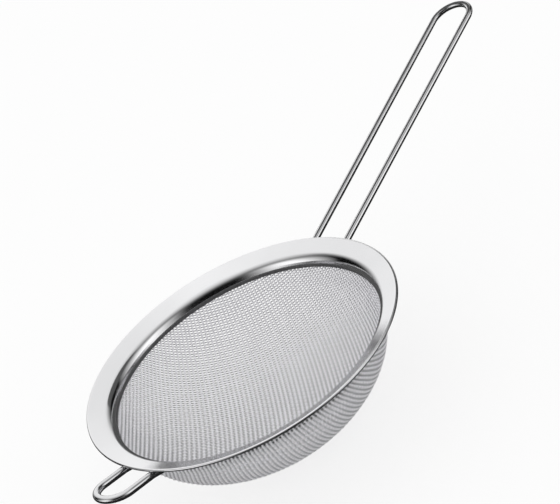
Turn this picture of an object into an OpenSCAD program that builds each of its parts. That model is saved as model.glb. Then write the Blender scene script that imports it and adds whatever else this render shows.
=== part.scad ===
// Tea strainer: a pressed steel rim with a woven wire bowl, a long wire handle and a short wire rest.
// Millimetres, +Z up, +X towards the handle. The origin is the centre of the rim, level with
// the middle of its rolled edge.

/* [Rim] */
// Inside diameter of the mouth
mouth_d = 78.8; // [60:0.2:110]
// Width of the rim from the mouth to the outside of the rolled edge
rim_w = 6.6; // [6.2:0.1:12]
// Slope of the flange, down towards the mouth, in degrees
flange_slope = 25; // [16:0.5:28]
// Thickness of the pressed sheet
sheet_t = 0.5; // [0.3:0.05:0.7]
// Diameter of the rolled edge
bead_d = 0.8; // [0.7:0.05:1.4]
// Radius of the shoulder that turns from the flange into the mouth, on its upper side
shoulder_r = 3.5; // [2:0.1:4]
// Slope of the wall below the shoulder, in degrees
wall_slope = 72; // [66:0.5:85]
// Height of the straight wall between the shoulder and the hoop
wall_h = 0.6; // [0.3:0.05:2]

/* [Hoop] */
// Height of the hoop below the rim's wall
hoop_h = 1.25; // [0.8:0.05:5]
// Thickness of the hoop's strip
hoop_t = 0.5; // [0.3:0.05:0.7]

/* [Mesh bowl] */
// Diameter of the wire in the cloth
cloth_wire_d = 0.36; // [0.2:0.02:0.5]
// Depth of the bowl below the hoop, to the middle of the cloth
bowl_depth = 23.7; // [12:0.1:40]
// How much narrower than the skirt the bowl is at its top, on the radius
bowl_step = 1; // [0.6:0.1:2]
// Height over which the skirt narrows into the bowl
step_h = 2.8; // [2:0.1:5]
// Gap between the skirt of the cloth and the hoop
skirt_gap = 0.05; // [0.02:0.01:0.2]
// Openings across the bowl, in the coarse grid that stands for the weave
grid_across = 12; // [6:2:12]
// Width of the bars between those openings
grid_bar = 2.4; // [1.5:0.1:3.5]
// Direction of the bars, from +X, in degrees
grid_turn = 45; // [0:0.5:90]

/* [Handle] */
// Diameter of the handle's wire
handle_wire_d = 2; // [1.6:0.1:3]
// Distance between the handle's legs at the rim, centre to centre
handle_w = 12.1; // [9:0.1:20]
// Reach of the handle past the rolled edge, along its legs
handle_reach = 98.6; // [50:0.1:160]
// Upward tilt of the handle in degrees
handle_tilt = 12.5; // [5:0.5:16]
// Outward flare of each leg in degrees
handle_flare = 0.4; // [0:0.1:2]

/* [Rest loop] */
// Diameter of the rest loop's wire
rest_wire_d = 2; // [1.6:0.1:3]
// Distance between the rest loop's legs, centre to centre
rest_w = 10.4; // [8:0.1:16]
// Reach of the rest loop past the rolled edge, along its legs
rest_reach = 12.7; // [10:0.1:30]
// Upward tilt of the rest loop in degrees
rest_tilt = 14.5; // [5:0.5:16]

/* [Leg ends] */
// Distance that the end of a leg keeps from the skirt of the cloth
leg_end_gap = 0.8; // [0.4:0.1:1.5]
// Gap between a leg and the rim where it is welded
leg_seat_gap = 0.08; // [0.04:0.01:0.2]
// Length of a weld along its leg
weld_l = 2.2; // [1.2:0.1:3]
// How far a weld reaches past its wire, to each side
weld_side = 0.5; // [0.3:0.05:1]

/* [Hidden] */
$fn = 96;

// Colours of the pieces
polished = [0.90, 0.90, 0.91];
dull = [0.42, 0.42, 0.43];
cloth = [0.72, 0.72, 0.73];
wire = [0.66, 0.66, 0.67];
fused = [0.50, 0.50, 0.51];

// Rim section: the flange runs along the tangent from the shoulder to the top of the rolled edge
mouth_r = mouth_d / 2;
bead_r = bead_d / 2;
bead_at_r = mouth_r + rim_w - bead_r;
shoulder_at_r = mouth_r + wall_h / tan(wall_slope) + shoulder_r * sin(wall_slope);
flange_in_r = shoulder_at_r - shoulder_r * sin(flange_slope);
flange_in_z = (bead_r - sin(flange_slope) * (bead_at_r - flange_in_r)) / cos(flange_slope);
shoulder_at_z = flange_in_z - shoulder_r * cos(flange_slope);
// Radius from which the flange's underside is straight
flange_under_in_r = shoulder_at_r - (shoulder_r - sheet_t) * sin(flange_slope);
shoulder_steps = 12;
bead_steps = 32;

// Hoop and cloth: the skirt of the cloth goes round the hoop, and the bowl is half an ellipsoid below it
hoop_top_z = shoulder_at_z + shoulder_r * cos(wall_slope) - wall_h;
hoop_bottom_z = hoop_top_z - hoop_h;
cloth_t = 2 * cloth_wire_d;
skirt_r = mouth_r + hoop_t + skirt_gap + cloth_t / 2;
skirt_outer_r = skirt_r + cloth_t / 2;
bowl_r = skirt_r - bowl_step;
bowl_top_angle = asin(step_h / bowl_depth);
bowl_steps = 14;

// Grid: openings are placed by their angle from the bottom of the ellipsoid, and end half a bar below the hoop
grid_edge_z = hoop_bottom_z - grid_bar / 2;
grid_edge_angle = acos((hoop_bottom_z - grid_edge_z) / bowl_depth);
grid_step = 2 * grid_edge_angle / grid_across;

// Wires: the legs end under the flange, where there is room for a weld beside the shoulder
weld_rise = (max(handle_wire_d, rest_wire_d) / 2 + weld_side) * sin(flange_slope);
leg_end_r = max(skirt_outer_r + leg_end_gap, flange_under_in_r + weld_rise);
// Angle by which half a bend runs past its middle before it is cut there
bend_spare = 4;
// Thickness of a leg where it turns down under the flange, over that of its wire
knuckle = 1.04;
// How far a cut runs past the faces that it goes through
cut_over = 1;

// Height of the flange's underside at a radius
function flange_under(r) = flange_in_z + (r - flange_in_r) * tan(flange_slope) - sheet_t / cos(flange_slope);

// Distance from the Z axis, along X, of a point at a radius and a sideways offset
function along_x(r, y) = sqrt(r * r - y * y);

// Height of a leg's centre line where it passes under the rolled edge
function leg_z(wire_d, tilt) = -(wire_d / 2 + leg_seat_gap + bead_r) / cos(tilt);

// Length along X from the rolled edge to the end of a leg
function leg_in_x(w) = along_x(bead_at_r, w / 2) - along_x(leg_end_r, w / 2);

// Slope of a leg's end, which runs from below the rolled edge to just under the flange
function leg_in_slope(wire_d, w, tilt) =
    let (end_z = flange_under(leg_end_r) - (wire_d / 2 + leg_seat_gap) / cos(flange_slope))
    max(atan((leg_z(wire_d, tilt) - end_z) / leg_in_x(w)), tilt + 1);

// Points on the middle of the cloth moved out by off, from the top of the skirt to the bowl's bottom
function cloth_points(off) = concat(
    [[skirt_r + off, hoop_top_z], [skirt_r + off, hoop_bottom_z]],
    [for (i = [0 : bowl_steps])
        let (a = bowl_top_angle + (90 - bowl_top_angle) * i / bowl_steps)
        [(bowl_r + off) * cos(a), hoop_bottom_z - (bowl_depth + off) * sin(a)]]
);

// Length along the bowl's meridian for a degree, at an angle from its bottom
function bowl_scale(v) = norm([bowl_r * cos(v), bowl_depth * sin(v)]) * PI / 180;

function reversed(points) = [for (i = [len(points) - 1 : -1 : 0]) points[i]];

// Points of an arc about a centre, from one angle to another
function arc_points(at, r, from, to, steps) =
    [for (i = [0 : steps]) let (a = from + (to - from) * i / steps) at + r * [cos(a), sin(a)]];

// Section of the rim: up the wall, over the shoulder, up the flange, round the rolled edge and back underneath
module rim_section() {
    tangent = 90 + flange_slope;
    upright = 90 + wall_slope;
    edge_end = tangent + acos((bead_r - sheet_t) / bead_r) - 360;
    shoulder_at = [shoulder_at_r, shoulder_at_z];
    polygon(concat(
        [[mouth_r, hoop_top_z]],
        arc_points(shoulder_at, shoulder_r, upright, tangent, shoulder_steps),
        arc_points([bead_at_r, 0], bead_r, tangent, edge_end, bead_steps),
        arc_points(shoulder_at, shoulder_r - sheet_t, tangent, upright, shoulder_steps),
        [[mouth_r + sheet_t / sin(wall_slope), hoop_top_z]]
    ));
}

// Half of a wire that is bent to a loop: one straight leg, the bend that the leg meets on a tangent, cut at
// its middle, and the leg's end, which turns down. It lies in the XY plane apart from that end, its leg crosses
// the origin's Y axis below the rolled edge, and it runs out along +X.
module half_loop(wire_d, w, reach, flare, turn, inner_l) {
    bend_r = (reach * sin(flare) + w / 2 * cos(flare)) / (1 + sin(flare));
    bend_at = reach - bend_r;
    leg_l = (bend_at - bend_r * sin(flare)) / cos(flare);
    far = reach + inner_l + wire_d;
    intersection() {
        translate([bend_at, 0, 0])
            rotate([0, 0, -flare]) {
                rotate([0, 0, -90])
                    rotate_extrude(angle = 90 + flare + bend_spare) translate([bend_r, 0]) circle(wire_d / 2);
                translate([0, -bend_r, 0]) rotate([0, -90, 0]) cylinder(d = wire_d, h = leg_l);
                translate([-leg_l, -bend_r, 0]) {
                    sphere(r = knuckle * wire_d / 2);
                    rotate([0, -90 - turn, 0]) cylinder(d = wire_d, h = inner_l);
                }
            }
        translate([-far, -far, -far]) cube([2 * far, far, 2 * far]);
    }
}

module wire_loop(wire_d, w, reach, flare, turn, inner_l) {
    half_loop(wire_d, w, reach, flare, turn, inner_l);
    mirror([0, 1, 0]) half_loop(wire_d, w, reach, flare, turn, inner_l);
}

// Places a loop's own plane under the rim
module under_rim(wire_d, w, tilt) {
    translate([along_x(bead_at_r, w / 2), 0, leg_z(wire_d, tilt)]) rotate([0, -tilt, 0]) children();
}

module seated_loop(wire_d, w, reach, tilt, flare) {
    slope = leg_in_slope(wire_d, w, tilt);
    under_rim(wire_d, w, tilt) wire_loop(wire_d, w, reach, flare, slope - tilt, leg_in_x(w) / cos(slope));
}

// Two welds, one on each leg, that fill the corner between the leg and the flange
module welds(wire_d, w, reach, tilt, flare) {
    weld_r = wire_d / 2 + weld_side;
    weld_at_r = leg_end_r + weld_l / 2;
    weld_in_x = along_x(bead_at_r, w / 2) - along_x(weld_at_r, w / 2);
    slope = leg_in_slope(wire_d, w, tilt);
    difference() {
        for (side = [-1, 1])
            intersection() {
                translate([along_x(bead_at_r, w / 2), side * w / 2, leg_z(wire_d, tilt)])
                    rotate([0, -slope, 0])
                        translate([-weld_in_x / cos(slope), 0, 0])
                            rotate([0, 90, 0]) cylinder(r = weld_r, h = weld_l, center = true);
                rotate_extrude()
                    polygon([
                        [leg_end_r - weld_l, flange_under(leg_end_r - weld_l) - wire_d / 2],
                        [bead_at_r, flange_under(bead_at_r) - wire_d / 2],
                        [bead_at_r, flange_under(bead_at_r)],
                        [leg_end_r - weld_l, flange_under(leg_end_r - weld_l)]
                    ]);
            }
        seated_loop(wire_d, w, reach, tilt, flare);
    }
}

module rim_flange() { color(polished) rotate_extrude() rim_section(); }

module mesh_hoop() {
    color(dull)
        translate([0, 0, hoop_bottom_z])
            difference() {
                cylinder(r = mouth_r + hoop_t, h = hoop_h);
                translate([0, 0, -cut_over]) cylinder(r = mouth_r, h = hoop_h + 2 * cut_over);
            }
}

// Cuts one opening at a place in the grid, given in degrees from the bottom of the bowl, square to the cloth
module grid_opening(x, y) {
    v = norm([x, y]);
    turn = atan2(y, x);
    pitch = bowl_scale(v) * grid_step;
    side = pitch - min(grid_bar, pitch / 2);
    normal = atan2(cos(v) / bowl_depth, sin(v) / bowl_r);
    rotate([0, 0, turn + grid_turn])
        translate([bowl_r * sin(v), 0, hoop_bottom_z - bowl_depth * cos(v)])
            rotate([0, normal, 0])
                rotate([turn, 0, 0]) cube([cloth_t + 2 * (bowl_step + cut_over), side, side], center = true);
}

// All openings of the grid, cut off level below the hoop
module grid_openings() {
    half = grid_across / 2;
    intersection() {
        union()
            for (i = [-half : half - 1], j = [-half : half - 1])
                if (norm([i + 0.5, j + 0.5]) < half) grid_opening((i + 0.5) * grid_step, (j + 0.5) * grid_step);
        translate([0, 0, grid_edge_z - 2 * bowl_depth]) cylinder(r = 2 * skirt_r, h = 2 * bowl_depth);
    }
}

module mesh_bowl() {
    color(cloth)
        difference() {
            rotate_extrude()
                polygon(concat(cloth_points(cloth_t / 2), reversed(cloth_points(-cloth_t / 2))));
            grid_openings();
        }
}

module handle_wire() {
    color(wire) seated_loop(handle_wire_d, handle_w, handle_reach, handle_tilt, handle_flare);
}

module rest_wire() {
    color(wire) rotate([0, 0, 180]) seated_loop(rest_wire_d, rest_w, rest_reach, rest_tilt, 0);
}

module handle_welds() {
    color(fused) welds(handle_wire_d, handle_w, handle_reach, handle_tilt, handle_flare);
}

module rest_welds() {
    color(fused) rotate([0, 0, 180]) welds(rest_wire_d, rest_w, rest_reach, rest_tilt, 0);
}

rim_flange();
mesh_hoop();
mesh_bowl();
handle_wire();
rest_wire();
handle_welds();
rest_welds();
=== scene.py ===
"""Looks of a tea strainer: turned steel rim, woven wire bowl, wire handle and rest, on a plain stage."""

import math

import bmesh
import bpy
from bpy.props import FloatProperty, FloatVectorProperty, IntProperty, PointerProperty
from mathutils import Matrix, Vector


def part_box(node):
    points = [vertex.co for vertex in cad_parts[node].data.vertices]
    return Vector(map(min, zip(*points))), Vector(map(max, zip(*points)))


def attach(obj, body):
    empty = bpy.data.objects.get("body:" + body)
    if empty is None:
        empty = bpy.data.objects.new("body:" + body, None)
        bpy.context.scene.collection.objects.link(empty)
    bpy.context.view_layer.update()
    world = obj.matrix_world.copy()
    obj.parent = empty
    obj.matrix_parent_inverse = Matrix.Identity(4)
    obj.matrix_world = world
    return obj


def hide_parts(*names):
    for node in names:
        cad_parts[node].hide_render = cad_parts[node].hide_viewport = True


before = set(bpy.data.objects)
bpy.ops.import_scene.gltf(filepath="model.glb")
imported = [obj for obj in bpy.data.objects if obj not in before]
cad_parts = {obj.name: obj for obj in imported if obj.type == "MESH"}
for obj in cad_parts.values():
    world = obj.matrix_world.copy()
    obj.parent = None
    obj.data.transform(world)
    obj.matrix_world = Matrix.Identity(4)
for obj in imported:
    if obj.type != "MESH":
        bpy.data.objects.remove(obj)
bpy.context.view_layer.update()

bl_info = {
    "name": "Tea Strainer",
    "version": (1, 0, 0),
    "blender": (4, 5, 0),
    "location": "View3D > Sidebar > Strainer",
    "description": "Builds the visible pieces of a wire tea strainer around its solid model",
    "category": "Add Mesh",
}

MM = 0.001
BODY = "root"
RIM_LOW, RIM_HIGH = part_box("rim_flange")
HOOP_LOW, HOOP_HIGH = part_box("mesh_hoop")
BOWL_LOW, BOWL_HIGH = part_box("mesh_bowl")

WHITE = (1.0, 1.0, 1.0, 1.0)
ALL_RAYS = ("camera", "diffuse", "glossy", "transmission", "volume_scatter", "shadow")
METAL_ONLY = ("glossy",)

# Most of a noise's values lie between these
NOISE_LOW = 0.3
NOISE_HIGH = 0.7

# Steps of the round stretches
EDGE_STEPS = 40
SHOULDER_STEPS = 26
UNDER_STEPS = 20
CORNER_STEPS = 5
DOME_STEPS = 72
CUT_STEPS = 6
LEG_BEND_STEPS = 8
TIP_STEPS = 48
DISC_STEPS = 96
FLAG_STEPS = 16
MOUTH_STEPS = 72

# Shares of a straight stretch at which it gets points: in the rim's section, in a leg's short end under the
# flange and in the leg itself
SECTION_SHARES = (0.02, 0.06, 0.15, 0.3, 0.5, 0.7, 0.85, 0.94, 0.98)
END_SHARES = (0.8, 0.5, 0.25)
LEG_SHARES = (0.05, 0.15, 0.3, 0.5, 0.7, 0.85, 0.95)

# How far the middle of a rounded corner lies from the corner's point along each side, over the rounding
CORNER_PULL = 0.3

# Passes after which a leg's side and the slope of its end have settled
SIDE_PASSES = 4
SLOPE_PASSES = 12

# Points closer than this are one
MERGE_GAP = 1e-3 * MM


# Settings

def length(name, description, default):
    """Setting that is a length."""
    return FloatProperty(name=name, description=description, default=default, min=0.0, unit="LENGTH")


def angle(name, description, degrees):
    """Setting that is an angle, given in degrees."""
    return FloatProperty(name=name, description=description, default=math.radians(degrees), subtype="ANGLE")


def share(name, description, default):
    """Setting from 0 to 1."""
    return FloatProperty(name=name, description=description, default=default, min=0.0, max=1.0,
                         subtype="FACTOR")


def amount(name, description, default):
    """Setting that is 0 or more."""
    return FloatProperty(name=name, description=description, default=default, min=0.0)


def count(name, description, default, least=1):
    """Setting that is a whole number."""
    return IntProperty(name=name, description=description, default=default, min=least)


def colour(name, description, default):
    """Setting that is a colour."""
    return FloatVectorProperty(name=name, description=description, default=default, size=3, min=0.0,
                               max=1.0, subtype="COLOR")


class RimSettings(bpy.types.PropertyGroup):
    """Sizes of the pressed rim and of the hoop below it"""

    sheet: length("Sheet", "Thickness of the pressed sheet and of the hoop's strip", 0.5 * MM)
    bead: length("Rolled edge", "Radius of the rolled outer edge", RIM_HIGH.z)
    shoulder: length("Shoulder", "Radius of the shoulder that turns into the mouth", 3.5 * MM)
    slope: angle("Slope", "Slope of the flange, down towards the mouth", 25.0)
    wall_slope: angle("Wall slope", "Slope of the wall between the shoulder and the hoop", 72.0)
    corner: length("Corner", "Rounding of the cut edges where rim and hoop meet", 0.08 * MM)
    segments: count("Segments", "Steps round the rim", 288, least=24)


class ClothSettings(bpy.types.PropertyGroup):
    """Sizes of the woven bowl"""

    warp_wire: length("Warp wire", "Diameter of the thicker wires", 0.52 * MM)
    weft_wire: length("Weft wire", "Diameter of the thinner wires", 0.36 * MM)
    warp_pitch: length("Warp pitch", "Distance from one thicker wire to the next", 1.34 * MM)
    weft_pitch: length("Weft pitch", "Distance from one thinner wire to the next", 0.79 * MM)
    warp_crimp: length("Warp crimp", "How far a thicker wire swings to each side", 0.16 * MM)
    weft_crimp: length("Weft crimp", "How far a thinner wire swings to each side", 0.08 * MM)
    warp_sides: count("Warp sides", "Sides of a thicker wire", 6, least=3)
    weft_sides: count("Weft sides", "Sides of a thinner wire", 5, least=3)
    warp_steps: count("Warp steps", "Steps of a thicker wire from one crossing to the next", 2)
    weft_steps: count("Weft steps", "Steps of a thinner wire from one crossing to the next", 3)
    turn: angle("Turn", "Direction of the thicker wires, from +X", 42.5)
    step: length("Step", "How much narrower than the skirt the bowl is at its top", 1.0 * MM)
    step_height: length("Step height", "Height over which the skirt narrows into the bowl", 2.8 * MM)


class WireSettings(bpy.types.PropertyGroup):
    """Sizes of the handle's and the rest's wire"""

    wire: length("Wire", "Diameter of the wire", 2.0 * MM)
    handle_tilt: angle("Handle tilt", "Upward tilt of the handle", 12.5)
    handle_flare: angle("Handle flare", "Outward flare of each leg of the handle", 0.4)
    rest_tilt: angle("Rest tilt", "Upward tilt of the rest", 14.5)
    leg_bend: length("Leg bend", "Radius of the bend where a leg turns down under the flange", 4.0 * MM)
    cut_round: length("Cut rounding", "Rounding of the wire's cut ends", 0.3 * MM)
    sides: count("Sides", "Sides of the wire", 40, least=8)


class FinishSettings(bpy.types.PropertyGroup):
    """Colours of the metals, and the painted shade of the woven wires between their crowns"""

    rim: colour("Rim", "Colour of the polished sheet", (0.87, 0.87, 0.88))
    hoop: colour("Hoop", "Colour of the dull strip", (0.42, 0.42, 0.43))
    cloth: colour("Cloth", "Colour of the woven wires", (0.975, 0.97, 1.0))
    # Painted shade of the woven wires between their crowns, as a share of their colour
    warp_hollow_shade: share("Warp hollow", "How bright the thicker wires are between their crowns", 1.0)
    weft_hollow_shade: share("Weft hollow", "How bright the thinner wires are between their crowns", 0.34)
    wire: colour("Wire", "Colour of the handle's and the rest's wire", (0.78, 0.78, 0.79))
    weld: colour("Weld", "Colour of the welds", (0.46, 0.45, 0.44))


class StageSettings(bpy.types.PropertyGroup):
    """Camera, floor and light"""

    azimuth: angle("Azimuth", "Camera's turn about the strainer", -38.82)
    elevation: angle("Elevation", "Camera's height above the rim's plane", 27.66)
    roll: angle("Roll", "Camera's roll", -28.74)
    distance: length("Distance", "Distance of the camera from the point it looks at", 343.5 * MM)
    lens: FloatProperty(name="Lens", description="Focal length", default=82.6, unit="CAMERA")
    aim: FloatVectorProperty(name="Aim", description="Point that the camera looks at", size=3,
                             default=(21.7 * MM, -7.65 * MM, 14.55 * MM), subtype="TRANSLATION")
    floor_colour: colour("Floor", "Colour of the floor", (0.94, 0.94, 0.94))
    floor_white: share("White floor", "How much of the floor is plain white paper to the eye", 0.75)
    floor_radius: length("Floor radius", "Radius of the floor", 4000.0 * MM)
    light: amount("Light", "Strength of the even light", 1.0)
    backdrop: angle("Backdrop", "Direction of the middle of the white backdrop, from +X", 51.0)
    white_full: angle("White full", "How far from its middle the backdrop is plain white", 10.0)
    white_end: angle("White end", "How far from its middle the backdrop has faded out", 44.0)
    white_fall: share("White fall", "How much the white of the backdrop falls off to its sides", 0.35)
    white_skew: share("White skew", "How much the white rises to the left, seen from the camera", 0.09)
    lean: share("Lean", "How much backdrop and softboxes lean outwards as they rise", 0.6)
    box_start: angle("Softbox start", "Where a softbox begins to glow, from the backdrop's middle", 53.0)
    box_foot: angle("Softbox foot", "How much farther out a softbox begins at its foot", 20.0)
    box_rise: angle("Softbox rise", "Where a softbox has its full glow", 100.0)
    box_full: angle("Softbox full", "Where a softbox begins to fade again", 115.0)
    box_end: angle("Softbox end", "Where a softbox has faded out", 160.0)
    box_strength: amount("Softbox", "Strength of a softbox in the metal", 1.15)
    box_top: angle("Softbox top", "Height from which softboxes and drapes pass into the ceiling", 24.0)
    ceiling_edge: angle("Ceiling edge", "Height from which there is only ceiling", 49.5)
    ceiling_dim: share("Ceiling dim", "How bright the ceiling is low down", 0.21)
    ceiling_bright: share("Ceiling bright", "How bright the ceiling is overhead", 0.89)
    ceiling_rise: share("Ceiling rise", "How much the ceiling brightens towards the backdrop", 0.6)
    # Dark cloth, flag and mouth card are painted dark reflections: dark cards that only the metal sees
    cloth_radius: length("Cloth radius", "Radius of the dark cloth under the strainer", 1000.0 * MM)
    cloth_dark: length("Cloth dark", "Distance from the middle to which the cloth is darkest", 220.0 * MM)
    cloth_pale: length("Cloth pale", "Distance from the middle at which the cloth is palest", 950.0 * MM)
    cloth_shade: share("Cloth shade", "How light the cloth is where it is darkest", 0.02)
    cloth_edge: share("Cloth edge", "How light the cloth is where it is palest", 0.4)
    cloth_lift: length("Cloth lift", "How far above the floor the dark cloth lies", 0.5 * MM)
    flag_radius: length("Flag radius", "Distance of the dark card over the handle", 75.0 * MM)
    flag_from: angle("Flag from", "Where the card begins on the near side, from straight above", -15.0)
    flag_to: angle("Flag to", "Where the card ends on the far side, from straight above", 50.0)
    flag_start: amount("Flag start", "Where the card begins along the handle, over its reach", 0.45)
    flag_end: amount("Flag end", "Where the card ends along the handle, over its reach", 1.7)
    flag_shade: share("Flag shade", "How light the card is", 0.09)
    mouth_shade: share("Mouth shade", "How light the card in the mouth is", 0.085)
    mouth_reach: angle("Mouth reach", "How far round the mouth's card goes to each side", 120.0)
    mouth_gap: length("Mouth gap", "Distance of the mouth's card from the hoop's outside", 0.6 * MM)
    mouth_open: share("Mouth open", "Inner radius of the mouth's card, over the hoop's", 0.78)
    mouth_drop: length("Mouth drop", "How far below the hoop the mouth's card lies", 0.1 * MM)


class StrainerSettings(bpy.types.PropertyGroup):
    """All settings of the strainer"""

    rim: PointerProperty(type=RimSettings)
    cloth: PointerProperty(type=ClothSettings)
    wires: PointerProperty(type=WireSettings)
    finish: PointerProperty(type=FinishSettings)
    stage: PointerProperty(type=StageSettings)


# Node helpers

def put(tree, kind, inputs=None, **options):
    """Adds a node, sets its options and its inputs; an input that is a socket is linked."""
    node = tree.nodes.new(kind)
    for name, value in options.items():
        setattr(node, name, value)
    for key, value in (inputs or {}).items():
        if isinstance(value, bpy.types.NodeSocket):
            tree.links.new(value, node.inputs[key])
        else:
            node.inputs[key].default_value = value
    return node


def calc(tree, operation, first, second=0.0):
    """Math node of two values."""
    return put(tree, "ShaderNodeMath", {0: first, 1: second}, operation=operation).outputs[0]


def plus(tree, first, second):
    """Sum of two values."""
    return calc(tree, "ADD", first, second)


def minus(tree, first, second):
    """Difference of two values."""
    return calc(tree, "SUBTRACT", first, second)


def times(tree, first, second):
    """Product of two values."""
    return calc(tree, "MULTIPLY", first, second)


def over(tree, first, second):
    """Quotient of two values."""
    return calc(tree, "DIVIDE", first, second)


def fade(tree, first, second, part):
    """First value where part is 0 and second where it is 1."""
    return plus(tree, times(tree, first, minus(tree, 1.0, part)), times(tree, second, part))


def vector(tree, x=0.0, y=0.0, z=0.0):
    """Vector of three values."""
    return put(tree, "ShaderNodeCombineXYZ", {"X": x, "Y": y, "Z": z}).outputs[0]


def parts(tree, place):
    """The three values of a vector, by the names X, Y and Z."""
    return put(tree, "ShaderNodeSeparateXYZ", {0: place}).outputs


def dot(tree, first, second):
    """Dot product of two vectors."""
    product = put(tree, "ShaderNodeVectorMath", {0: first, 1: second}, operation="DOT_PRODUCT")
    return product.outputs["Value"]


def about_z(tree, place, turn):
    """Vector turned about the Z axis."""
    inputs = {"Vector": place, "Angle": turn}
    return put(tree, "ShaderNodeVectorRotate", inputs, rotation_type="Z_AXIS").outputs[0]


def geometry_tree(name, sizes):
    """New geometry node tree with a named input for each size, and its input and output nodes."""
    tree = bpy.data.node_groups.new(name, "GeometryNodeTree")
    tree.interface.new_socket("Geometry", in_out="INPUT", socket_type="NodeSocketGeometry")
    for label, kind in sizes:
        tree.interface.new_socket(label, in_out="INPUT", socket_type=kind)
    tree.interface.new_socket("Geometry", in_out="OUTPUT", socket_type="NodeSocketGeometry")
    return tree, tree.nodes.new("NodeGroupInput").outputs, tree.nodes.new("NodeGroupOutput")


def close_tree(tree, mesh, group_out, material):
    """Ends a tree: smooth faces, real geometry and the piece's material."""
    smooth = put(tree, "GeometryNodeSetShadeSmooth", {"Geometry": mesh})
    real = put(tree, "GeometryNodeRealizeInstances", {"Geometry": smooth.outputs[0]})
    done = put(tree, "GeometryNodeSetMaterial", {"Geometry": real.outputs[0], "Material": material})
    tree.links.new(done.outputs[0], group_out.inputs[0])


# Pieces

def guide_object(name, points, closed=False, values=None):
    """Mesh object of points joined by edges, with an optional value named girth at each point."""
    total = len(points)
    edges = [(i, (i + 1) % total) for i in range(total if closed else total - 1)]
    mesh = bpy.data.meshes.new(name)
    mesh.from_pydata([tuple(p) for p in points], edges, [])
    if values:
        mesh.attributes.new("girth", "FLOAT", "POINT").data.foreach_set("value", values)
    piece = bpy.data.objects.new(name, mesh)
    bpy.context.scene.collection.objects.link(piece)
    return piece


def outward(mesh):
    """Turns every face of a closed mesh outwards."""
    edit = bmesh.new()
    edit.from_mesh(mesh)
    bmesh.ops.recalc_face_normals(edit, faces=edit.faces[:])
    edit.to_mesh(mesh)
    edit.free()


def grow(piece, tree, values):
    """Runs a tree on a guide object, and turns the result into the object's own plain mesh."""
    modifier = piece.modifiers.new(tree.name, "NODES")
    modifier.node_group = tree
    for item in tree.interface.items_tree:
        if item.in_out == "INPUT" and item.name in values:
            modifier[item.identifier] = values[item.name]
    graph = bpy.context.evaluated_depsgraph_get()
    mesh = bpy.data.meshes.new_from_object(piece.evaluated_get(graph), preserve_all_data_layers=True,
                                           depsgraph=graph)
    piece.modifiers.clear()
    guide = piece.data
    piece.data = mesh
    bpy.data.meshes.remove(guide)
    if not mesh.polygons:
        raise RuntimeError(f"{piece.name} came out empty")
    outward(mesh)
    mesh.name = piece.name


def seat(piece, slot, *nodes):
    """Puts a finished piece on the part in place of its solids."""
    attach(piece, BODY)
    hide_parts(*nodes)


# Materials

def metal(name, metallic=1.0):
    """New material with a metal shader; returns the material, its tree and the shader."""
    material = bpy.data.materials.new(name)
    material.use_nodes = True
    shader = material.node_tree.nodes["Principled BSDF"]
    shader.inputs["Metallic"].default_value = metallic
    return material, material.node_tree, shader


def attribute(tree, name):
    """Value of a piece's own attribute."""
    return put(tree, "ShaderNodeAttribute", attribute_name=name).outputs["Fac"]


def place_in_mm(tree):
    """Object coordinates in millimetres."""
    place = tree.nodes.new("ShaderNodeTexCoord").outputs["Object"]
    per_metre = (1 / MM, 1 / MM, 1 / MM)
    return put(tree, "ShaderNodeVectorMath", {0: place, 1: per_metre}, operation="MULTIPLY").outputs[0]


def round_place(tree):
    """Distance from the Z axis and height in millimetres, and angle about the axis in radians."""
    spot = parts(tree, place_in_mm(tree))
    square = plus(tree, times(tree, spot["X"], spot["X"]), times(tree, spot["Y"], spot["Y"]))
    return calc(tree, "SQRT", square), spot["Z"], calc(tree, "ARCTAN2", spot["Y"], spot["X"])


def noise(tree, place, scale, detail=2.0):
    """Noise at a place, from 0 to 1."""
    inputs = {"Vector": place, "Scale": scale, "Detail": detail}
    return put(tree, "ShaderNodeTexNoise", inputs).outputs["Fac"]


def round_lines(tree, across, around, detail):
    """Noise drawn out into lines that run round the Z axis, with its scales across them and around."""
    radius, height, turn = round_place(tree)
    place = vector(tree, times(tree, radius, across), times(tree, height, across),
                   times(tree, turn, around))
    return noise(tree, place, scale=1.0, detail=detail)


def span(tree, value, low, high, to_low=0.0, to_high=1.0, way="LINEAR"):
    """Stretches a range of values to another, and holds it at the ends."""
    inputs = {"Value": value, "From Min": low, "From Max": high, "To Min": to_low, "To Max": to_high}
    return put(tree, "ShaderNodeMapRange", inputs, interpolation_type=way).outputs[0]


def ease(tree, value, low, high, to_low=0.0, to_high=1.0):
    """As span, with soft ends."""
    return span(tree, value, low, high, to_low, to_high, way="SMOOTHSTEP")


def tone(tree, value, base, dark, light):
    """Colour made darker and lighter by a value from 0 to 1."""
    mix = put(tree, "ShaderNodeMix", {0: value}, data_type="RGBA")
    # Of the node's sockets, 6 and 7 are the colours that go in, and 2 is the one that comes out
    mix.inputs[6].default_value = (*(c * dark for c in base), 1.0)
    mix.inputs[7].default_value = (*(min(c * light, 1.0) for c in base), 1.0)
    return mix.outputs[2]


def roughness(tree, pattern, *more, smooth, rough):
    """Roughness between two values by a noise, plus amounts of other patterns."""
    total = span(tree, pattern, NOISE_LOW, NOISE_HIGH, smooth, rough)
    for other, extra in more:
        total = plus(tree, total, times(tree, other, extra))
    return total


def finish_metal(tree, shader, base_colour, rough, height, relief):
    """Joins colour, roughness and a bump of some relief in millimetres to the shader."""
    bump = put(tree, "ShaderNodeBump", {"Strength": 1.0, "Distance": relief * MM, "Height": height})
    tree.links.new(base_colour, shader.inputs["Base Color"])
    tree.links.new(rough, shader.inputs["Roughness"])
    tree.links.new(bump.outputs[0], shader.inputs["Normal"])


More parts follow.
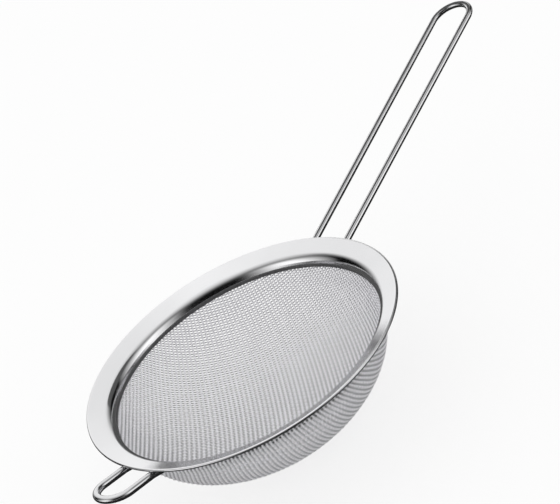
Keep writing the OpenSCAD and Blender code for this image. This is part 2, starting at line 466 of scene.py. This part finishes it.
def polished_sheet(base):
    """Polished steel sheet: fine polishing lines that run round, faint smudges and a worn rolled edge."""
    material, tree, shader = metal("polished sheet")
    place = place_in_mm(tree)
    lines = round_lines(tree, across=4.0, around=5.0, detail=3.0)
    smudges = noise(tree, place, scale=0.12, detail=3.0)
    waves = noise(tree, place, scale=0.09, detail=1.0)
    radius, _, _ = round_place(tree)
    edge_width = 0.25
    edge = span(tree, radius, RIM_HIGH.x / MM - edge_width, RIM_HIGH.x / MM)
    worn = times(tree, edge, noise(tree, place, scale=2.5))
    rough = roughness(tree, smudges, (lines, 0.05), (worn, 0.12), smooth=0.07, rough=0.12)
    line_depth = 0.02
    height = plus(tree, times(tree, lines, line_depth), waves)
    shade = tone(tree, smudges, base, dark=0.97, light=1.03)
    finish_metal(tree, shader, shade, rough, height, relief=0.05)
    return material


def dull_strip(base):
    """Dull steel strip: rolled grain that runs round, and mottled stains."""
    material, tree, shader = metal("dull strip")
    grain = round_lines(tree, across=6.0, around=12.0, detail=4.0)
    stains = noise(tree, place_in_mm(tree), scale=0.7, detail=3.0)
    stain_part = 0.5
    shade = tone(tree, fade(tree, grain, stains, stain_part), base, dark=0.7, light=1.3)
    rough = roughness(tree, grain, smooth=0.36, rough=0.5)
    finish_metal(tree, shader, shade, rough, grain, relief=0.01)
    return material


def woven_wire(name, base, hollow_shade):
    """Bright cloth wire with fine grain, rougher between its crowns, and darker there by painted shade, as
    bright as hollow_shade says.
    """
    material, tree, shader = metal(name, metallic=0.32)
    crown = calc(tree, "ABSOLUTE", attribute(tree, "lift"))
    patches = noise(tree, place_in_mm(tree), scale=0.25, detail=3.0)
    grain = noise(tree, place_in_mm(tree), scale=9.0, detail=2.0)
    patch_part = 0.2
    grain_rough = 0.06
    # Painted shade: four fifths of the tone darken the wire between its crowns, where crossing wires would
    # shade it; one fifth is random patches
    shade = tone(tree, fade(tree, crown, patches, patch_part), base, dark=hollow_shade, light=1.0)
    rough = span(tree, crown, 0.0, 1.0, to_low=0.34, to_high=0.22)
    rough = plus(tree, rough, times(tree, grain, grain_rough))
    finish_metal(tree, shader, shade, rough, grain, relief=0.003)
    return material


def drawn_wire(base):
    """Polished wire: faint drawing lines along it, and patches that hands have dulled."""
    material, tree, shader = metal("drawn wire")
    around = 7.0
    along = 0.15 / MM
    turn = times(tree, attribute(tree, "around"), math.tau)
    place = vector(tree, times(tree, calc(tree, "COSINE", turn), around),
                   times(tree, calc(tree, "SINE", turn), around),
                   times(tree, attribute(tree, "along"), along))
    lines = noise(tree, place, scale=1.0, detail=3.0)
    patches = noise(tree, place_in_mm(tree), scale=0.15, detail=3.0)
    rough = roughness(tree, patches, (lines, 0.06), smooth=0.08, rough=0.14)
    shade = tone(tree, patches, base, dark=0.94, light=1.05)
    finish_metal(tree, shader, shade, rough, lines, relief=0.004)
    return material


def weld_bead(base):
    """Weld metal: dull and rippled, with straw and blue heat tints."""
    material, tree, shader = metal("weld bead")
    grain = noise(tree, place_in_mm(tree), scale=2.5, detail=4.0)
    heat = noise(tree, place_in_mm(tree), scale=0.6, detail=2.0)
    tints = put(tree, "ShaderNodeValToRGB", {0: heat})
    stops = (
        (0.3, (0.95, 0.96, 1.05)),
        (0.5, (1.0, 1.0, 1.0)),
        (0.62, (1.1, 0.98, 0.78)),
        (0.75, (0.75, 0.78, 0.98)),
    )
    ramp = tints.color_ramp.elements
    given = len(ramp)
    for index, (position, tint) in enumerate(stops):
        stop = ramp[index] if index < given else ramp.new(position)
        stop.position = position
        stop.color = (*(min(b * t, 1.0) for b, t in zip(base, tint)), 1.0)
    rough = roughness(tree, grain, smooth=0.38, rough=0.55)
    finish_metal(tree, shader, tints.outputs[0], rough, grain, relief=0.06)
    return material


def glow(name, strength):
    """Material that shines evenly; returns the material and its tree."""
    material = bpy.data.materials.new(name)
    material.use_nodes = True
    tree = material.node_tree
    tree.nodes.remove(tree.nodes["Principled BSDF"])
    shine = put(tree, "ShaderNodeEmission", {"Color": WHITE, "Strength": strength})
    tree.links.new(shine.outputs[0], tree.nodes["Material Output"].inputs["Surface"])
    return material, tree


def seen_ray(tree):
    """1 for rays from the eye, reflected or refracted, and 0 for rays that only light a surface."""
    path = tree.nodes.new("ShaderNodeLightPath").outputs
    bent = calc(tree, "MAXIMUM", path["Is Glossy Ray"], path["Is Transmission Ray"])
    return calc(tree, "MAXIMUM", path["Is Camera Ray"], bent)


# Geometry node trees

def ring_tree(material):
    """Turns a closed section of points in the XZ plane about the Z axis."""
    tree, sizes, group_out = geometry_tree("Turned ring", [("Segments", "NodeSocketInt")])
    section = sizes["Geometry"]
    total = put(tree, "GeometryNodeAttributeDomainSize", {"Geometry": section}).outputs["Point Count"]
    row = plus(tree, total, 1.0)
    grid = put(tree, "GeometryNodeMeshGrid",
               {"Vertices X": plus(tree, sizes["Segments"], 1.0), "Vertices Y": row})
    index = tree.nodes.new("GeometryNodeInputIndex").outputs[0]
    # Half a point more keeps the division clear of whole numbers
    step = calc(tree, "FLOOR", over(tree, plus(tree, index, 0.5), row))
    place = calc(tree, "MODULO", minus(tree, index, times(tree, step, row)), total)
    position = tree.nodes.new("GeometryNodeInputPosition").outputs[0]
    point = put(tree, "GeometryNodeSampleIndex", {"Geometry": section}, data_type="FLOAT_VECTOR",
                domain="POINT")
    tree.links.new(position, point.inputs["Value"])
    tree.links.new(place, point.inputs["Index"])
    turn = over(tree, times(tree, step, math.tau), sizes["Segments"])
    turned = about_z(tree, point.outputs[0], turn)
    placed = put(tree, "GeometryNodeSetPosition", {"Geometry": grid.outputs["Mesh"], "Position": turned})
    joined = put(tree, "GeometryNodeMergeByDistance",
                 {"Geometry": placed.outputs[0], "Distance": MERGE_GAP})
    close_tree(tree, joined.outputs[0], group_out, material)
    return tree


def wire_tree(material):
    """Sweeps a round wire along a path, thinner where the path's girth is under 1."""
    tree, sizes, group_out = geometry_tree("Bent wire", [
        ("Diameter", "NodeSocketFloat"), ("Sides", "NodeSocketInt")])
    path = put(tree, "GeometryNodeMeshToCurve", {"Mesh": sizes["Geometry"]}).outputs[0]
    run = tree.nodes.new("GeometryNodeSplineParameter")
    marked = put(tree, "GeometryNodeStoreNamedAttribute",
                 {"Geometry": path, "Name": "along", "Value": run.outputs["Length"]})
    ring = put(tree, "GeometryNodeCurvePrimitiveCircle",
               {"Resolution": sizes["Sides"], "Radius": over(tree, sizes["Diameter"], 2.0)})
    round_ring = put(tree, "GeometryNodeStoreNamedAttribute",
                     {"Geometry": ring.outputs[0], "Name": "around", "Value": run.outputs["Factor"]})
    girth = put(tree, "GeometryNodeInputNamedAttribute", {"Name": "girth"}).outputs[0]
    swept = put(tree, "GeometryNodeCurveToMesh",
                {"Curve": marked.outputs[0], "Profile Curve": round_ring.outputs[0], "Scale": girth,
                 "Fill Caps": True})
    close_tree(tree, swept.outputs[0], group_out, material)
    return tree


def cloth_tree(material):
    """Lays one set of crimped wires over the dome that a meridian draws.

    The meridian runs from the bottom of the bowl up to the edge of the cloth. A flat cloth is laid on the
    dome with its distances from the bottom kept, so a wire at a point x, y of the cloth lies at the length
    of x, y along the meridian."""
    tree, sizes, group_out = geometry_tree("Woven wires", [
        ("Pitch", "NodeSocketFloat"), ("Cross Pitch", "NodeSocketFloat"), ("Diameter", "NodeSocketFloat"),
        ("Crimp", "NodeSocketFloat"), ("Turn", "NodeSocketFloat"), ("Half", "NodeSocketFloat"),
        ("Spacing", "NodeSocketFloat"), ("Sides", "NodeSocketInt")])
    pitch = sizes["Pitch"]
    radius = over(tree, sizes["Diameter"], 2.0)
    meridian = put(tree, "GeometryNodeMeshToCurve", {"Mesh": sizes["Geometry"]}).outputs[0]
    reach = put(tree, "GeometryNodeCurveLength", {"Curve": meridian}).outputs[0]
    position = tree.nodes.new("GeometryNodeInputPosition").outputs[0]
    spot = parts(tree, position)

    # Straight wires of the flat cloth, one half of it
    rows = calc(tree, "FLOOR", over(tree, minus(tree, reach, radius), pitch))
    gap = times(tree, pitch, sizes["Half"])
    starts = put(tree, "GeometryNodeMeshLine",
                 {"Count": rows, "Start Location": vector(tree, y=times(tree, gap, 0.5)),
                  "Offset": vector(tree, y=gap)}, mode="OFFSET")
    square = minus(tree, times(tree, reach, reach), times(tree, spot["Y"], spot["Y"]))
    stretch = vector(tree, calc(tree, "SQRT", square), 1.0, 1.0)
    line = put(tree, "GeometryNodeCurvePrimitiveLine", {"Start": (-1.0, 0.0, 0.0), "End": (1.0, 0.0, 0.0)})
    lines = put(tree, "GeometryNodeInstanceOnPoints",
                {"Points": starts.outputs[0], "Instance": line.outputs[0], "Scale": stretch})
    flat = put(tree, "GeometryNodeRealizeInstances", {"Geometry": lines.outputs[0]})
    fine = put(tree, "GeometryNodeResampleCurve",
               {"Curve": flat.outputs[0], "Length": sizes["Spacing"]}, mode="LENGTH")

    # Crimp, which goes over one crossing wire and under the next
    steps = plus(tree, over(tree, spot["X"], sizes["Cross Pitch"]), over(tree, spot["Y"], pitch))
    wave = calc(tree, "COSINE", times(tree, steps, math.pi))
    marked = put(tree, "GeometryNodeStoreNamedAttribute",
                 {"Geometry": fine.outputs[0], "Name": "lift", "Value": wave})

    # Place on the dome
    run = put(tree, "ShaderNodeVectorMath", {0: position}, operation="LENGTH").outputs["Value"]
    sample = put(tree, "GeometryNodeSampleCurve", {"Curves": meridian, "Length": run}, mode="LENGTH",
                 use_all_curves=True)
    slope = parts(tree, sample.outputs["Tangent"])
    outside = vector(tree, x=slope["Z"], z=times(tree, slope["X"], -1.0))
    moved = put(tree, "ShaderNodeVectorMath", {0: outside, "Scale": times(tree, wave, sizes["Crimp"])},
                operation="SCALE")
    lifted = put(tree, "ShaderNodeVectorMath", {0: sample.outputs["Position"], 1: moved.outputs[0]},
                 operation="ADD")
    spin = plus(tree, calc(tree, "ARCTAN2", spot["Y"], spot["X"]), sizes["Turn"])
    turned = about_z(tree, lifted.outputs[0], spin)
    draped = put(tree, "GeometryNodeSetPosition", {"Geometry": marked.outputs[0], "Position": turned})
    ring = put(tree, "GeometryNodeCurvePrimitiveCircle", {"Resolution": sizes["Sides"], "Radius": radius})
    swept = put(tree, "GeometryNodeCurveToMesh",
                {"Curve": draped.outputs[0], "Profile Curve": ring.outputs[0], "Fill Caps": True})
    close_tree(tree, swept.outputs[0], group_out, material)
    return tree


# Outlines

def arc(centre, radius, start, end, steps):
    """Points of an arc in the XZ plane, between two angles in degrees."""
    turns = [math.radians(start + (end - start) * i / steps) for i in range(steps + 1)]
    x, z = centre
    return [Vector((x + radius * math.cos(t), 0.0, z + radius * math.sin(t))) for t in turns]


def between_slopes(first, first_slope, second, second_slope, radius):
    """Centre of an arc below two slopes that touches both, each slope given by a point and an angle."""
    normals = [Vector((-math.sin(slope), math.cos(slope))) for slope in (first_slope, second_slope)]
    heights = [n.dot(Vector(point)) - radius for n, point in zip(normals, (first, second))]
    return Matrix(normals).inverted() @ Vector(heights)


def rim_section(rim):
    """Section of the rim: up the wall, over the shoulder, up the flange, round the rolled edge and back."""
    tangent = 90.0 + math.degrees(rim.slope)
    upright = 90.0 + math.degrees(rim.wall_slope)
    mouth = HOOP_HIGH.x - rim.sheet
    bottom = RIM_LOW.z
    edge_at = (RIM_HIGH.y - rim.bead, 0.0)
    edge_end = tangent + math.degrees(math.acos((rim.bead - rim.sheet) / rim.bead)) - 360.0
    edge = arc(edge_at, rim.bead, tangent, edge_end, EDGE_STEPS)
    flange_top = (edge[0].x, edge[0].z)
    shoulder_at = between_slopes((mouth, bottom), rim.wall_slope, flange_top, rim.slope, rim.shoulder)
    shoulder = arc(shoulder_at, rim.shoulder, upright, tangent, SHOULDER_STEPS)
    under = arc(shoulder_at, rim.shoulder - rim.sheet, tangent, upright, UNDER_STEPS)
    foot_in = Vector((mouth, 0.0, bottom))
    foot_out = Vector((mouth + rim.sheet / math.sin(rim.wall_slope), 0.0, bottom))
    across = (foot_out - foot_in).normalized() * rim.corner
    wall_in = (shoulder[0] - foot_in).normalized() * rim.corner
    wall_out = (under[-1] - foot_out).normalized() * rim.corner
    low_in = [foot_in + across, foot_in + (across + wall_in) * CORNER_PULL, foot_in + wall_in]
    low_out = [foot_out + wall_out, foot_out + (wall_out - across) * CORNER_PULL, foot_out - across]
    points = list(low_in)
    for stretch in (shoulder, edge, under, low_out):
        points += [points[-1].lerp(stretch[0], part) for part in SECTION_SHARES] + stretch
    return points


def hoop_section(rim):
    """Section of the hoop: an upright strip with rounded edges."""
    round_by = rim.corner
    inside = HOOP_HIGH.x - rim.sheet + round_by
    outside = HOOP_HIGH.x - round_by
    top = HOOP_HIGH.z - round_by
    bottom = HOOP_LOW.z + round_by
    corners = (((inside, top), 180.0), ((outside, top), 90.0),
               ((outside, bottom), 0.0), ((inside, bottom), -90.0))
    return [p for at, start in corners for p in arc(at, round_by, start, start - 90.0, CORNER_STEPS)]


def cloth_line(cloth):
    """Middle of the cloth from the bottom of the bowl up to the cloth's edge under the flange."""
    half_cloth = (cloth.warp_wire + cloth.weft_wire) / 2
    skirt = BOWL_HIGH.x - half_cloth
    bowl = skirt - cloth.step
    depth = HOOP_LOW.z - (BOWL_LOW.z + half_cloth)
    top = math.asin(cloth.step_height / depth)
    turns = [math.pi / 2 + (top - math.pi / 2) * i / DOME_STEPS for i in range(DOME_STEPS + 1)]
    dome = [Vector((bowl * math.cos(t), 0.0, HOOP_LOW.z - depth * math.sin(t))) for t in turns]
    return dome + [Vector((skirt, 0.0, HOOP_LOW.z)), Vector((skirt, 0.0, BOWL_HIGH.z))]


def loop_path(node, wires, tilt, flare):
    """Centre line of a bent wire loop, found from its solid's box, with the wire's girth at each point.

    The loop's legs end under the flange, turn up below the rolled edge and rise along +X or -X to the tip.
    The box touches the wire's round surface at the tip, at the sides of the bend and at the legs' ends."""
    low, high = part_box(node)
    radius = wires.wire / 2
    way = 1.0 if high.x > -low.x else -1.0
    tip = Vector((max(high.x, -low.x) - radius, 0.0, high.z - radius))
    inner_x = min(abs(low.x), abs(high.x))
    bend = high.y - radius
    rolled = RIM_HIGH.x - RIM_HIGH.z
    rise = Vector((math.cos(tilt), 0.0, math.sin(tilt)))
    reach = (tip.x - rolled) / math.cos(tilt)
    for _ in range(SIDE_PASSES):
        side = bend / math.cos(flare) - (reach - bend) * math.tan(flare)
        reach = (tip.x - math.sqrt(rolled * rolled - side * side)) / math.cos(tilt)
    corner = tip - rise * reach
    slope = tilt
    for _ in range(SLOPE_PASSES):
        end = Vector((inner_x + radius * math.sin(slope), 0.0, low.z + radius * math.cos(slope)))
        slope = math.atan2(corner.z - end.z, corner.x - end.x)
    inward = (end - corner).normalized()
    inner = (end - corner).length

    def spot(distance):
        """Point on the leg, at a distance from its corner below the rolled edge."""
        point = corner + (rise * distance if distance > 0 else inward * -distance)
        return Vector((point.x, -side - distance * math.tan(flare), point.z))

    # Rounded cut, and the leg's end under the flange
    cut = wires.cut_round
    points = []
    girth = []
    for k in range(CUT_STEPS + 1):
        turn = math.pi / 2 * k / CUT_STEPS
        points.append(spot(-inner + cut * (1 - math.cos(turn))))
        girth.append(1.0 - cut * (1 - math.sin(turn)) / radius)
    points += [spot(-inner * part) for part in END_SHARES]

    # Bend below the rolled edge, and the long leg
    turn_in = wires.leg_bend * math.tan((slope - tilt) / 2)
    for k in range(LEG_BEND_STEPS + 1):
        t = k / LEG_BEND_STEPS
        points.append(spot(-turn_in) * (1 - t) ** 2 + spot(0.0) * 2 * t * (1 - t) + spot(turn_in) * t * t)
    centre = reach - bend
    straight = centre - bend * math.sin(flare)
    points += [spot(straight * part) for part in LEG_SHARES if straight * part > 2 * turn_in]

    # Bend at the tip, and the other half of the loop
    quarter = math.pi / 2 + flare
    for k in range(TIP_STEPS + 1):
        turn = quarter * (k / TIP_STEPS - 1)
        along = centre + bend * math.cos(turn)
        points.append(corner + rise * along + Vector((0.0, bend * math.sin(turn), 0.0)))
    girth += [1.0] * (len(points) - len(girth))
    points += [Vector((p.x, -p.y, p.z)) for p in points[-2::-1]]
    girth += girth[-2::-1]
    return [Vector((way * p.x, p.y, p.z)) for p in points], girth


def ring_points(radius, height, start, turn, steps):
    """Points round the Z axis, from one angle on through a turn."""
    angles = [start + turn * i / steps for i in range(steps + 1)]
    return [Vector((radius * math.cos(a), radius * math.sin(a), height)) for a in angles]


def strip_faces(steps):
    """Faces between two rows of points that have so many steps each."""
    row = steps + 1
    return [[i, i + 1, row + i + 1, row + i] for i in range(steps)]


# Operators

class STRAINER_OT_rim(bpy.types.Operator):
    """Turn the polished rim and the dull hoop below it"""

    bl_idname = "strainer.rim"
    bl_label = "Rim and hoop"

    def execute(self, context):
        rim = context.scene.strainer.rim
        finish = context.scene.strainer.finish
        for node, section, material, slot in (
                ("rim_flange", rim_section(rim), polished_sheet(finish.rim), "polished_rim"),
                ("mesh_hoop", hoop_section(rim), dull_strip(finish.hoop), "dull_hoop")):
            piece = guide_object(node + "_turned", section, closed=True)
            grow(piece, ring_tree(material), {"Segments": rim.segments})
            seat(piece, slot, node)
        return {"FINISHED"}


class STRAINER_OT_cloth(bpy.types.Operator):
    """Weave the bowl from two sets of crossing wires"""

    bl_idname = "strainer.cloth"
    bl_label = "Woven bowl"

    def execute(self, context):
        cloth = context.scene.strainer.cloth
        finish = context.scene.strainer.finish
        warp = {"Pitch": cloth.warp_pitch, "Cross Pitch": cloth.weft_pitch, "Diameter": cloth.warp_wire,
                "Crimp": cloth.warp_crimp, "Turn": cloth.turn,
                "Spacing": cloth.weft_pitch / cloth.warp_steps, "Sides": cloth.warp_sides}
        weft = {"Pitch": cloth.weft_pitch, "Cross Pitch": cloth.warp_pitch, "Diameter": cloth.weft_wire,
                "Crimp": -cloth.weft_crimp, "Turn": cloth.turn - math.pi / 2,
                "Spacing": cloth.warp_pitch / cloth.weft_steps, "Sides": cloth.weft_sides}
        # Each set of wires gets its own painted shade between its crowns
        for name, hollow_shade, sizes in (("warp", finish.warp_hollow_shade, warp), ("weft", finish.weft_hollow_shade, weft)):
            tree = cloth_tree(woven_wire(name + " wire", finish.cloth, hollow_shade))
            for half, sign in (("_a", 1.0), ("_b", -1.0)):
                piece = guide_object("bowl_" + name + half, cloth_line(cloth))
                grow(piece, tree, {**sizes, "Half": sign})
                seat(piece, "wire_cloth", "mesh_bowl")
        return {"FINISHED"}


class STRAINER_OT_wires(bpy.types.Operator):
    """Bend the long handle and the short rest"""

    bl_idname = "strainer.wires"
    bl_label = "Handle and rest"

    def execute(self, context):
        wires = context.scene.strainer.wires
        tree = wire_tree(drawn_wire(context.scene.strainer.finish.wire))
        for node, tilt, flare in (("handle_wire", wires.handle_tilt, wires.handle_flare),
                                  ("rest_wire", wires.rest_tilt, 0.0)):
            points, girth = loop_path(node, wires, tilt, flare)
            piece = guide_object(node + "_bent", points, values=girth)
            grow(piece, tree, {"Diameter": wires.wire, "Sides": wires.sides})
            seat(piece, "polished_wire", node)
        return {"FINISHED"}


class STRAINER_OT_welds(bpy.types.Operator):
    """Give the welds under the flange their own metal"""

    bl_idname = "strainer.welds"
    bl_label = "Welds"

    def execute(self, context):
        material = weld_bead(context.scene.strainer.finish.weld)
        for node in ("handle_welds", "rest_welds"):
            weld = bpy.data.objects.get(node)
            if weld is None:
                raise RuntimeError(f"{node} is not in the frame")
            for place in weld.material_slots:
                place.link = "OBJECT"
                place.material = material
        return {"FINISHED"}


class STRAINER_OT_stage(bpy.types.Operator):
    """Set the floor, the light and the camera"""

    bl_idname = "strainer.stage"
    bl_label = "Stage"

    def execute(self, context):
        stage = context.scene.strainer.stage
        context.scene.view_settings.view_transform = "Standard"
        self.add_floor(stage)
        self.add_dark_cloth(stage)
        self.add_flag(stage)
        self.add_mouth_card(stage)
        self.add_world(context, stage)
        self.add_camera(context, stage)
        return {"FINISHED"}

    def add_card(self, name, points, faces, material, seen_by=METAL_ONLY):
        """Adds a stage object of flat faces that only some kinds of light ray meet."""
        mesh = bpy.data.meshes.new(name)
        mesh.from_pydata([tuple(p) for p in points], [], faces)
        mesh.materials.append(material)
        card = bpy.data.objects.new(name, mesh)
        bpy.context.scene.collection.objects.link(card)
        for ray in ALL_RAYS:
            setattr(card, "visible_" + ray, ray in seen_by)

    def add_disc(self, name, radius, height, material, seen_by=METAL_ONLY):
        """Adds a flat round stage object."""
        points = ring_points(radius, height, 0.0, math.tau, DISC_STEPS)[:-1]
        self.add_card(name, points, [list(range(len(points)))], material, seen_by)

    def add_floor(self, stage):
        """Pale round floor below the bowl; to the eye and in the metal it is mostly plain white."""
        material = bpy.data.materials.new("floor paper")
        material.use_nodes = True
        tree = material.node_tree
        shader = tree.nodes["Principled BSDF"]
        shader.inputs["Base Color"].default_value = (*stage.floor_colour, 1.0)
        shader.inputs["Roughness"].default_value = 0.9
        shader.inputs["Specular IOR Level"].default_value = 0.1
        white = put(tree, "ShaderNodeEmission", {"Color": WHITE, "Strength": 1.0})
        part = times(tree, seen_ray(tree), stage.floor_white)
        mix = put(tree, "ShaderNodeMixShader", {0: part, 1: shader.outputs[0], 2: white.outputs[0]})
        tree.links.new(mix.outputs[0], tree.nodes["Material Output"].inputs["Surface"])
        self.add_disc("floor", stage.floor_radius, BOWL_LOW.z, material, ALL_RAYS)

    def add_dark_cloth(self, stage):
        """Painted dark reflection: a dark cloth under the strainer, seen by metal alone, darkest near the
        middle; it gives the rolled edge its dark line.
        """
        material, tree = glow("dark cloth", 0.0)
        radius, _, _ = round_place(tree)
        shade = span(tree, radius, stage.cloth_dark / MM, stage.cloth_pale / MM, stage.cloth_shade,
                     stage.cloth_edge)
        tree.links.new(shade, tree.nodes["Emission"].inputs["Strength"])
        self.add_disc("dark_cloth", stage.cloth_radius, BOWL_LOW.z + stage.cloth_lift, material)

    def add_flag(self, stage):
        """Painted dark reflection: a curved dark card over the handle, seen by metal alone; it gives the
        wires a dark side.
        """
        _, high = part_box("handle_wire")
        reach = stage.flag_to - stage.flag_from
        turns = [stage.flag_from + reach * i / FLAG_STEPS for i in range(FLAG_STEPS + 1)]
        radius = stage.flag_radius
        curve = [(radius * math.sin(t), high.z / 2 + radius * math.cos(t)) for t in turns]
        ends = (high.x * stage.flag_start, high.x * stage.flag_end)
        points = [Vector((x, y, z)) for x in ends for y, z in curve]
        material, _ = glow("dark flag", stage.flag_shade)
        self.add_card("handle_flag", points, strip_faces(FLAG_STEPS), material)

    def add_mouth_card(self, stage):
        """Painted dark reflection: a dark ring in the mouth, seen by metal above it; it keeps the bright
        cloth out of the wall.
        """
        material, tree = glow("mouth card", stage.mouth_shade)
        back = tree.nodes.new("ShaderNodeNewGeometry").outputs["Backfacing"]
        shine = tree.nodes["Emission"].outputs[0]
        clear = put(tree, "ShaderNodeBsdfTransparent").outputs[0]
        mix = put(tree, "ShaderNodeMixShader", {0: back, 1: shine, 2: clear})
        tree.links.new(mix.outputs[0], tree.nodes["Material Output"].inputs["Surface"])
        start = stage.backdrop - stage.mouth_reach
        height = HOOP_LOW.z - stage.mouth_drop
        points = []
        for radius in (HOOP_HIGH.x - stage.mouth_gap, HOOP_HIGH.x * stage.mouth_open):
            points += ring_points(radius, height, start, 2 * stage.mouth_reach, MOUTH_STEPS)
        self.add_card("mouth_card", points, strip_faces(MOUTH_STEPS), material)

    def add_world(self, context, stage):
        """Even light; the eye sees plain white, and the metal sees the studio."""
        world = bpy.data.worlds.new("studio")
        context.scene.world = world
        world.use_nodes = True
        tree = world.node_tree
        even = tree.nodes["Background"]
        even.inputs["Color"].default_value = WHITE
        even.inputs["Strength"].default_value = stage.light
        eye = tree.nodes.new("ShaderNodeLightPath").outputs["Is Camera Ray"]
        strength = calc(tree, "MAXIMUM", self.studio(tree, stage), eye)
        seen = put(tree, "ShaderNodeBackground", {"Color": WHITE, "Strength": strength})
        mix = put(tree, "ShaderNodeMixShader", {0: seen_ray(tree), 1: even.outputs[0], 2: seen.outputs[0]})
        tree.links.new(mix.outputs[0], tree.nodes["World Output"].inputs["Surface"])

    def studio(self, tree, stage):
        """Brightness of the studio by direction: a white backdrop, softboxes, dark drapes and a ceiling."""
        direction = tree.nodes.new("ShaderNodeTexCoord").outputs["Generated"]
        behind = (math.cos(stage.backdrop), math.sin(stage.backdrop), 0.0)
        beside = (-behind[1], behind[0], 0.0)
        forward = dot(tree, direction, behind)
        across = dot(tree, direction, beside)
        side = calc(tree, "ABSOLUTE", across)
        up = parts(tree, direction)["Z"]
        away = calc(tree, "ARCTAN2", side, forward)
        tilted = minus(tree, away, times(tree, calc(tree, "ARCSINE", up), stage.lean))

        # Softboxes, which begin farther out at their foot, and the ceiling that they pass into. Heights are
        # sines of the angle above the rim's plane.
        foot_top = 0.4
        start = span(tree, up, 0.0, foot_top, stage.box_start + stage.box_foot, stage.box_start)
        softbox = times(tree, span(tree, tilted, start, stage.box_rise),
                        ease(tree, away, stage.box_full, stage.box_end, stage.box_strength, 0.0))
        ceiling_low = 0.66
        ceiling_high = 0.95
        ceiling = span(tree, up, ceiling_low, ceiling_high, stage.ceiling_dim, stage.ceiling_bright)
        ceiling = times(tree, ceiling, plus(tree, times(tree, forward, stage.ceiling_rise), 1.0))
        high = ease(tree, up, math.sin(stage.box_top), math.sin(stage.ceiling_edge))

        # Backdrop, on the far side only
        backdrop_edge = 0.25
        white = times(tree, ease(tree, tilted, stage.white_full, stage.white_end, 1.0, 0.0),
                      ease(tree, forward, 0.0, backdrop_edge))
        paler = plus(tree, times(tree, side, -stage.white_fall), times(tree, across, stage.white_skew))
        return fade(tree, fade(tree, softbox, ceiling, high), plus(tree, paler, 1.0), white)

    def add_camera(self, context, stage):
        """Camera above the near side, with the handle pointing away from it."""
        data = bpy.data.cameras.new("camera")
        data.sensor_width = 36.0
        data.lens = stage.lens
        data.clip_start = 10.0 * MM
        camera = bpy.data.objects.new("camera", data)
        context.scene.collection.objects.link(camera)
        turn = (Matrix.Rotation(stage.azimuth, 4, "Z")
                @ Matrix.Rotation(math.pi / 2 - stage.elevation, 4, "X")
                @ Matrix.Rotation(stage.roll, 4, "Z"))
        back = turn.to_3x3() @ Vector((0.0, 0.0, stage.distance))
        camera.matrix_world = Matrix.Translation(Vector(stage.aim) + back) @ turn
        context.scene.camera = camera


class STRAINER_PT_panel(bpy.types.Panel):
    """Settings and steps of the strainer"""

    bl_idname = "STRAINER_PT_panel"
    bl_label = "Tea Strainer"
    bl_space_type = "VIEW_3D"
    bl_region_type = "UI"
    bl_category = "Strainer"

    def draw(self, context):
        for name in StrainerSettings.__annotations__:
            group = getattr(context.scene.strainer, name)
            box = self.layout.box()
            for setting in type(group).__annotations__:
                box.prop(group, setting)
        for operator in OPERATORS:
            self.layout.operator(operator.bl_idname)


OPERATORS = (STRAINER_OT_rim, STRAINER_OT_cloth, STRAINER_OT_wires, STRAINER_OT_welds, STRAINER_OT_stage)
GROUPS = (RimSettings, ClothSettings, WireSettings, FinishSettings, StageSettings, StrainerSettings)
CLASSES = (*GROUPS, *OPERATORS, STRAINER_PT_panel)


def register():
    """Makes the settings, the operators and the panel known."""
    for made in CLASSES:
        bpy.utils.register_class(made)
    bpy.types.Scene.strainer = PointerProperty(type=StrainerSettings)


def unregister():
    """Takes them away again."""
    del bpy.types.Scene.strainer
    for made in reversed(CLASSES):
        bpy.utils.unregister_class(made)


def main():
    """Builds the strainer and its stage."""
    register()
    bpy.ops.strainer.rim()
    bpy.ops.strainer.cloth()
    bpy.ops.strainer.wires()
    bpy.ops.strainer.welds()
    bpy.ops.strainer.stage()


if __name__ == "__main__":
    main()
